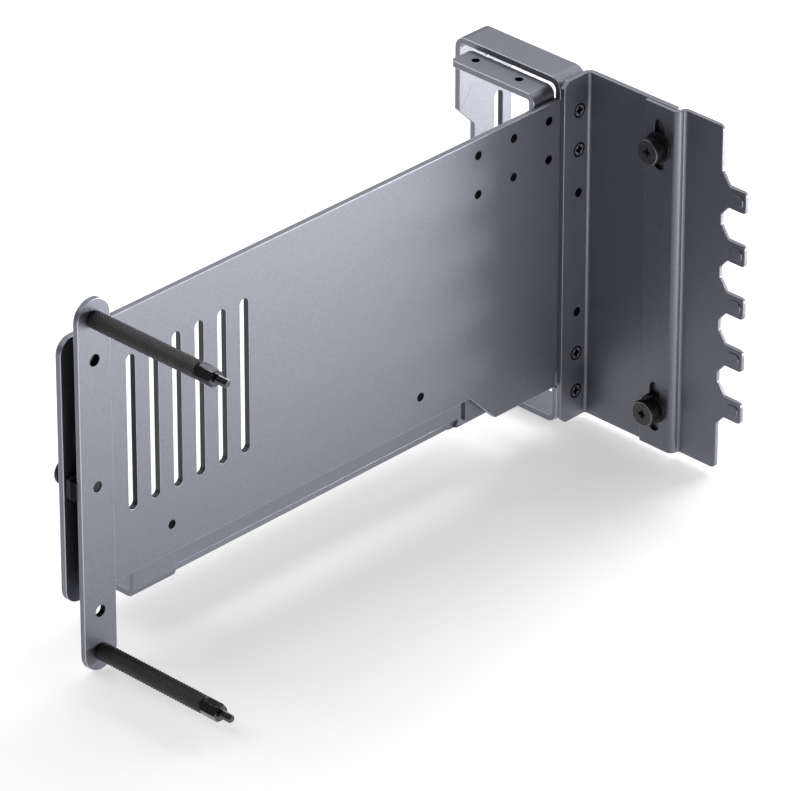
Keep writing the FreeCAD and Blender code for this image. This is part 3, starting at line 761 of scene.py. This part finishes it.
def dress(node: str, rounding: SoftEdges, coat: Coat) -> bpy.types.Object:
    """Stands a rounded copy in a solid's place and gives it its finish.

    Args:
        node: Name of the solid's node.
        rounding: How its edges are rounded.
        coat: Its finishes.

    Returns:
        The copy.
    """
    solid = frame["nodes"][node]
    made = rounding.copy(solid, "soft_" + node)
    for finish in (coat.face, coat.edge, coat.bore, coat.slit):
        made.data.materials.append(finish.material())
    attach(made, solid["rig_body"])
    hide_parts(node)
    log.info("%s: %d faces", made.name, len(made.data.polygons))
    return made


@dataclass
class FoldedSheets:
    """The sheet metal pieces, with softened edges and dark holes.

    Attributes:
        bright: Sheets whose edges carry the strong painted highlight.
        dull: Sheets in more shade, whose edges carry a weaker painted highlight.
        rounding: How their edges are rounded.
        tongue_end: The main plate's tongue gets painted shade beyond this X, in millimetres.
    """

    bright: tuple[str, ...] = ("main_plate", "card_bracket", "support_bar", "back_plate")
    dull: tuple[str, ...] = ("corner_bracket", "slot_comb", "riser_tray")
    rounding: SoftEdges = field(default_factory=lambda: SoftEdges(0.24))
    tongue_end: float = -237.6

    def paint_tongue_shade(self, plate: bpy.types.Object) -> None:
        """Paints shade on the main plate's tongue behind the support bar with the near-black
        finish of its holes.

        Args:
            plate: The main plate's copy.
        """
        corners = plate.data.vertices
        for face in plate.data.polygons:
            if max(corners[i].co.x for i in face.vertices) < self.tongue_end * MM:
                face.material_index = Zone.BORE.value

    def build(self) -> None:
        """Builds every sheet, and the pad behind the support bar, painted near-black as shade."""
        for nodes, edge in ((self.bright, PAINTED_HIGHLIGHT_EDGE), (self.dull, WEAK_PAINTED_HIGHLIGHT_EDGE)):
            for node in nodes:
                # The edges take a painted highlight; holes and slits take painted shade.
                made = dress(node, self.rounding, Coat(SHEET, edge, PAINTED_SHADE_HOLE, PAINTED_SHADE_SLIT))
                if node == "main_plate":
                    self.paint_tongue_shade(made)
        # The pad behind the support bar is painted near-black as shade.
        dress("clamp_pad", self.rounding, Coat(PAINTED_SHADE_PAD, PAINTED_SHADE_PAD, PAINTED_SHADE_PAD, PAINTED_SHADE_PAD))


@dataclass
class KnurledPillar:
    """A pillar turned by hand, with a diamond knurl from end to end.

    Attributes:
        side: Which one it is.
        radius: Its radius over the knurl's crests, in millimetres.
        depth: Depth of the knurl in millimetres.
        starts: Number of grooves each way round.
        pitch: Distance between crests along it, in millimetres.
        steps: Points of the mesh for each crest, along and round.
        crest: The higher this is, the wider the crests' flat tops.
        end_chamfer: Width of the chamfer at both ends, in millimetres.
        groove_share: Below this share of the depth the knurl takes painted shade.
        sharp: Edges folded by more than this many degrees stay sharp.
    """

    side: Side
    radius: float = 3.2
    depth: float = 0.32
    starts: int = 16
    pitch: float = 1.25
    steps: int = 6
    crest: float = 1.25
    end_chamfer: float = 0.5
    groove_share: float = 0.28
    sharp: float = 80.0

    def tooth(self, angle: float, y: float) -> float:
        """Radius of the knurl at a place.

        Args:
            angle: Angle round the pillar, in radians.
            y: Place along it, in millimetres.

        Returns:
            The radius in millimetres.
        """
        turn, along = self.starts * angle / (2 * math.pi), y / self.pitch
        right, left = (turn + along) % 1.0, (turn - along) % 1.0
        height = min(1 - abs(2 * right - 1), 1 - abs(2 * left - 1))
        return self.radius - self.depth * (1 - min(1.0, self.crest * height))

    def paint_groove_shade(self, pillar: bpy.types.Object, x: float, z: float) -> None:
        """Paints shade on the faces down in the knurl with the second, near-black finish.

        Args:
            pillar: The pillar's object.
            x: X of its axis, in millimetres.
            z: Z of its axis, in millimetres.
        """
        valley = self.radius - self.depth * self.groove_share
        for face in pillar.data.polygons:
            out = math.hypot(face.center.x / MM - x, face.center.z / MM - z)
            face.material_index = int(abs(face.normal.y) < ACROSS and out < valley)

    def build(self) -> None:
        """Makes the pillar over its solid."""
        node = "pillar_" + self.side.value
        low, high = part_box(node)
        x, z = (low.x + high.x) / 2 / MM, (low.z + high.z) / 2 / MM
        start, end = low.y / MM, high.y / MM
        length = end - start - 2 * self.end_chamfer
        count = round(length / self.pitch * self.steps)
        core = even(self.radius - self.end_chamfer)
        rows: list[Ring] = [(start, core)]
        for j in range(count + 1):
            y = start + self.end_chamfer + length * j / count
            rows.append((y, lambda angle, y=y: self.tooth(angle, y - start)))
        rows.append((end, core))
        points, faces = wrap_rod(x, z, rows, self.starts * self.steps)
        pillar = make_object("knurled_" + node, points, faces, self.sharp)
        # The crests' near-white colour is partly painted light, and the grooves' near-black one is
        # painted shade.
        pillar.data.materials.append(KNURL.material())
        pillar.data.materials.append(PAINTED_SHADE_GROOVE.material())
        self.paint_groove_shade(pillar, x, z)
        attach(pillar, "pillar_up" if self.side is Side.UPPER else "pillar_down")
        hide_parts(node)
        log.info("pillar %s: %d faces", self.side.value, len(faces))


@dataclass
class Standoff:
    """A hexagon with a threaded stud that goes through the motherboard's hole.

    Attributes:
        side: Which one it is. All lengths are in millimetres.
        flats: Width of the hexagon across its flats.
        hexagon: Its length.
        chamfer: Length of the chamfers at its ends.
        chamfer_inset: A chamfer ends this far inside the flats.
        corner_slack: And starts this far outside the corners.
        stud: Diameter of the stud.
        stud_length: Its length.
        tip_inset: The stud's tip is this much smaller in radius.
        tip_length: Length of its taper.
        neck: The thread ends this far from the hexagon.
        neck_end: And is at its root this far from it.
        thread_pitch: Pitch of the thread.
        thread_depth: Its depth.
        insert_gap: The thread inside the pillar is this much smaller in radius.
        insert_short: And ends this far short of the solid's.
        columns: Points of the mesh round it.
        thread_rows: Rings of the mesh for each turn of the thread.
        chamfer_rows: Rings for each chamfer.
        sharp: Edges folded by more than this many degrees stay sharp.
    """

    side: Side
    flats: float = 5.5
    hexagon: float = 7.3
    chamfer: float = 0.55
    chamfer_inset: float = 0.15
    corner_slack: float = 0.05
    stud: float = 3.0
    stud_length: float = 4.9
    tip_inset: float = 0.45
    tip_length: float = 0.4
    neck: float = 0.5
    neck_end: float = 0.45
    thread_pitch: float = 0.5
    thread_depth: float = 0.16
    insert_gap: float = 0.05
    insert_short: float = 0.01
    columns: int = 72
    thread_rows: int = 8
    chamfer_rows: int = 6
    sharp: float = 22.0

    def hexagon_ring(self, reach: float) -> Radius:
        """The hexagon's outline with its corners turned down.

        Args:
            reach: Radius that the corners are turned down to.

        Returns:
            The radius at an angle, with corners at 0 degrees and every 60 from it.
        """
        sixth = math.pi / 3
        return lambda angle: min(self.flats / 2 / math.cos(angle % sixth - sixth / 2), reach)

    def thread_radius(self, angle: float, y: float) -> float:
        """Radius of the thread at an angle and a height in millimetres."""
        phase = (y / self.thread_pitch + angle / (2 * math.pi)) % 1.0
        return self.stud / 2 - self.thread_depth * abs(2 * phase - 1)

    def stud_rings(self, tip: float) -> list[Ring]:
        """Rings of the stud.

        Args:
            tip: Y of its tip.

        Returns:
            For each ring its Y and its radius, from the tip to the hexagon.
        """
        root = even(self.stud / 2 - self.thread_depth)
        face = tip + self.stud_length
        count = round((self.stud_length - self.tip_length) / self.thread_pitch * self.thread_rows)
        rings: list[Ring] = [(tip, even(self.stud / 2 - self.tip_inset))]
        for j in range(count + 1):
            length = self.stud_length - self.tip_length - self.neck
            y = tip + self.tip_length + length * j / count
            rings.append((y, lambda angle, y=y: self.thread_radius(angle, y)))
        return rings + [(face - self.neck_end, root), (face, root)]

    def hexagon_rings(self, face: float) -> list[Ring]:
        """Rings of the hexagon.

        Args:
            face: Y of the end that the stud stands on.

        Returns:
            For each ring its Y and its radius, to the end at the pillar.
        """
        small = self.flats / 2 - self.chamfer_inset
        growth = self.flats / math.sqrt(3) + self.corner_slack - small
        rings: list[Ring] = [(face, even(small))]
        for j in range(1, self.chamfer_rows + 1):
            share = j / self.chamfer_rows
            rings.append((face + self.chamfer * share, self.hexagon_ring(small + growth * share)))
        for j in range(self.chamfer_rows + 1):
            share = 1 - j / self.chamfer_rows
            rings.append((face + self.hexagon - self.chamfer * share,
                          self.hexagon_ring(small + growth * share)))
        return rings

    def build(self) -> None:
        """Makes the standoff over its solid, with the thread cut on its stud."""
        node = "standoff_" + self.side.value
        low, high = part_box(node)
        x, z = (low.x + high.x) / 2 / MM, (low.z + high.z) / 2 / MM
        tip = low.y / MM
        face = tip + self.stud_length
        insert = even(self.stud / 2 - self.insert_gap)
        rows = self.stud_rings(tip) + self.hexagon_rings(face)
        rows += [(face + self.hexagon, insert), (high.y / MM - self.insert_short, insert)]
        points, faces = wrap_rod(x, z, rows, self.columns)
        standoff = make_object("hexagon_" + node, points, faces, self.sharp)
        standoff.data.materials.append(CHROME.material())
        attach(standoff, "standoff_up" if self.side is Side.UPPER else "standoff_down")
        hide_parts(node)
        log.info("standoff %s: %d faces", self.side.value, len(faces))


@dataclass
class Thumbscrews:
    """The comb's two thumbscrews and the one behind the bar, with their washers.

    Attributes:
        nodes: Their nodes.
        rim: Width of the rim round a head, which carries a painted highlight, in millimetres.
        recess_rim: Width of the rim round a recess, in painted shade.
    """

    nodes: tuple[str, ...] = ("comb_thumbscrew_upper", "comb_thumbscrew_lower", "clamp_thumbscrew",
                              "comb_washer_upper", "comb_washer_lower", "clamp_washer")
    rim: float = 0.16
    recess_rim: float = 0.3

    def build(self) -> None:
        """Builds them all, blackened, with a painted highlight on the rim round each head and
        painted shade on the recesses and sides.
        """
        for node in self.nodes:
            axis = 1 if node.startswith("clamp") else 0
            # Painted highlight on each head's rim, painted shade on its recess and sides.
            dress(node, ScrewEdges(self.rim, self.recess_rim, axis=axis),
                  Coat(OXIDE, OXIDE_PAINTED_HIGHLIGHT, OXIDE_PAINTED_SHADE, OXIDE_PAINTED_SHADE))


@dataclass
class SmallScrews:
    """The small cross recessed screws.

    Attributes:
        nodes: Their nodes.
        rim: Width of the rim round a head, painted near-black as shade, in millimetres.
        recess_rim: Width of the rim round a recess, also in painted shade.
    """

    nodes: tuple[str, ...] = ("corner_screw_1", "corner_screw_2", "corner_screw_3",
                              "corner_screw_4", "card_bracket_screw_1", "card_bracket_screw_2",
                              "tray_screw_left", "tray_screw_right", "pillar_screw_upper",
                              "pillar_screw_lower")
    rim: float = 0.55
    recess_rim: float = 0.22

    def build(self) -> None:
        """Builds every screw: a lighter head, with painted shade on its recess, its sides and its
        rim.
        """
        for node in self.nodes:
            # Painted shade on each screw's rim, recess and sides.
            dress(node, ScrewEdges(self.rim, self.recess_rim), Coat(ZINC, PAINTED_SHADE_HOLE, PAINTED_SHADE_HOLE, PAINTED_SHADE_HOLE))


@dataclass(frozen=True)
class Lamp:
    """A soft lamp.

    Attributes:
        name: Its name.
        place: Where its middle stands, in metres.
        power: In watts.
        width: Its width in metres.
        height: Its height in metres.
        aim: The point it shines at, in metres.
    """

    name: str
    place: Point
    power: float
    width: float = 0.9
    height: float = 0.9
    aim: Point = (-0.12, 0.06, 0.0)

    def build(self) -> None:
        """Makes the lamp's object."""
        light = bpy.data.lights.new(self.name, "AREA")
        light.shape = "RECTANGLE"
        light.size, light.size_y = self.width, self.height
        light.energy = self.power
        made = bpy.data.objects.new(self.name, light)
        bpy.context.scene.collection.objects.link(made)
        made.location = Vector(self.place)
        made.rotation_mode = "QUATERNION"
        made.rotation_quaternion = (Vector(self.aim) - made.location).to_track_quat("-Z", "Y")


@dataclass(frozen=True)
class Camera:
    """The camera, where the photograph was taken from.

    Attributes:
        place: Where it stands, in metres.
        turn: How far it is turned from looking along +Y, in degrees.
        rise: How far it looks down, in degrees.
        focal: Its focal length in pixels of the photograph.
        sensor: Width of its sensor in millimetres.
        near: Nothing nearer is drawn, in metres.
        far: Nor anything farther.
    """

    place: Point = (-1.61862, -1.40624, 1.18619)
    turn: float = -45.87
    rise: float = 29.66
    focal: float = 7232.0
    sensor: float = 36.0
    near: float = 0.1
    far: float = 50.0

    def build(self) -> None:
        """Makes the camera and looks through it."""
        made = bpy.data.cameras.new("camera")
        made.sensor_width = self.sensor
        made.lens = self.focal / IMAGE_SIDE * self.sensor
        made.clip_start, made.clip_end = self.near, self.far
        camera = bpy.data.objects.new("camera", made)
        bpy.context.scene.collection.objects.link(camera)
        camera.location = Vector(self.place)
        turn, rise = math.radians(self.turn), math.radians(self.rise)
        back = Vector((math.sin(turn) * math.cos(rise), -math.cos(turn) * math.cos(rise),
                       math.sin(rise)))
        camera.rotation_mode = "QUATERNION"
        camera.rotation_quaternion = (-back).to_track_quat("-Z", "Y")
        bpy.context.scene.camera = camera


@dataclass
class Studio:
    """Floor, lamps, world and camera.

    Attributes:
        floor_drop: The floor lies this many millimetres under the mount.
        floor_side: Length of its sides in metres.
        floor_albedo: Its colour, a pale grey.
        floor_glow: Light added to it where it is looked at, which turns it white.
        world_strength: Strength of the white surroundings.
        lamps: The four large lamps, and two low ones in front of the main plate.
        camera: The camera.
    """

    floor_drop: float = 0.6
    floor_side: float = 8.0
    floor_albedo: float = 0.80
    floor_glow: float = 0.45
    world_strength: float = 0.12
    lamps: tuple[Lamp, ...] = (
        Lamp("beside_comb", (1.3065, 0.06, 0.4635), 23.5),
        Lamp("behind", (-0.12, 1.4865, 0.4635), 8.7),
        Lamp("behind_bar_high", (-0.8018, 0.7418, 1.149), 4.8),
        Lamp("behind_comb_high", (0.5618, 0.7418, 1.149), 6.5),
        Lamp("low_far", (0.3715, -0.2841, -0.045), 4.9, 0.28, 0.11, (-0.12, 0.06, 0.04)),
        Lamp("low_front", (-0.0615, -0.356, -0.045), 0.55, 0.14, 0.04, (-0.12, 0.06, 0.04)),
    )
    camera: Camera = Camera()

    def seen_factor(self, tree: bpy.types.NodeTree) -> bpy.types.NodeSocket:
        """1 where the camera, a gloss or a clear piece looks, and 0 for other light.

        Args:
            tree: Nodes of the material.

        Returns:
            The socket with that number.
        """
        path = tree.nodes.new("ShaderNodeLightPath")
        seen = path.outputs["Is Camera Ray"]
        for ray in ("Is Glossy Ray", "Is Transmission Ray"):
            either = tree.nodes.new("ShaderNodeMath")
            either.operation = "MAXIMUM"
            tree.links.new(seen, either.inputs[0])
            tree.links.new(path.outputs[ray], either.inputs[1])
            seen = either.outputs[0]
        return seen

    def floor_material(self) -> bpy.types.Material:
        """Builds the floor's material.

        Returns:
            A matt grey that takes shadows, with the glow added where it is looked at.
        """
        made = bpy.data.materials.new("pale_floor")
        made.use_nodes = True
        tree = made.node_tree
        tree.nodes.remove(tree.nodes["Principled BSDF"])
        matt = tree.nodes.new("ShaderNodeBsdfDiffuse")
        matt.inputs["Color"].default_value = (*(self.floor_albedo,) * 3, 1.0)
        strength = tree.nodes.new("ShaderNodeMath")
        strength.operation = "MULTIPLY"
        strength.inputs[1].default_value = self.floor_glow
        tree.links.new(self.seen_factor(tree), strength.inputs[0])
        glow = tree.nodes.new("ShaderNodeEmission")
        tree.links.new(strength.outputs[0], glow.inputs["Strength"])
        both = tree.nodes.new("ShaderNodeAddShader")
        tree.links.new(matt.outputs[0], both.inputs[0])
        tree.links.new(glow.outputs[0], both.inputs[1])
        tree.links.new(both.outputs[0], tree.nodes["Material Output"].inputs["Surface"])
        return made

    def build_floor(self) -> None:
        """Lays the pale floor just under the mount."""
        low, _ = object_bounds()
        half, z = self.floor_side / 2, low.z - self.floor_drop * MM
        mesh = bpy.data.meshes.new("floor")
        mesh.from_pydata([(-half, -half, z), (half, -half, z), (half, half, z), (-half, half, z)],
                         [], [(0, 1, 2, 3)])
        mesh.materials.append(self.floor_material())
        floor = link_mesh("floor", mesh)
        floor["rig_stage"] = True

    def build_world(self) -> None:
        """Sets the pale, even surroundings."""
        world = bpy.data.worlds.new("studio")
        bpy.context.scene.world = world
        world.use_nodes = True
        back = world.node_tree.nodes["Background"]
        back.inputs["Color"].default_value = (1.0, 1.0, 1.0, 1.0)
        back.inputs["Strength"].default_value = self.world_strength

    def build(self) -> None:
        """Builds the whole studio."""
        self.build_floor()
        self.build_world()
        for lamp in self.lamps:
            lamp.build()
        self.camera.build()
        bpy.context.scene.view_settings.view_transform = "Standard"
        log.info("studio with %d lamps", len(self.lamps))


def main() -> None:
    """Builds the mount and its studio in order."""
    logging.basicConfig(level=logging.INFO, format="%(name)s: %(message)s")
    FoldedSheets().build()
    for side in Side:
        KnurledPillar(side).build()
        Standoff(side).build()
    Thumbscrews().build()
    SmallScrews().build()
    Studio().build()


if __name__ == "__main__":
    main()
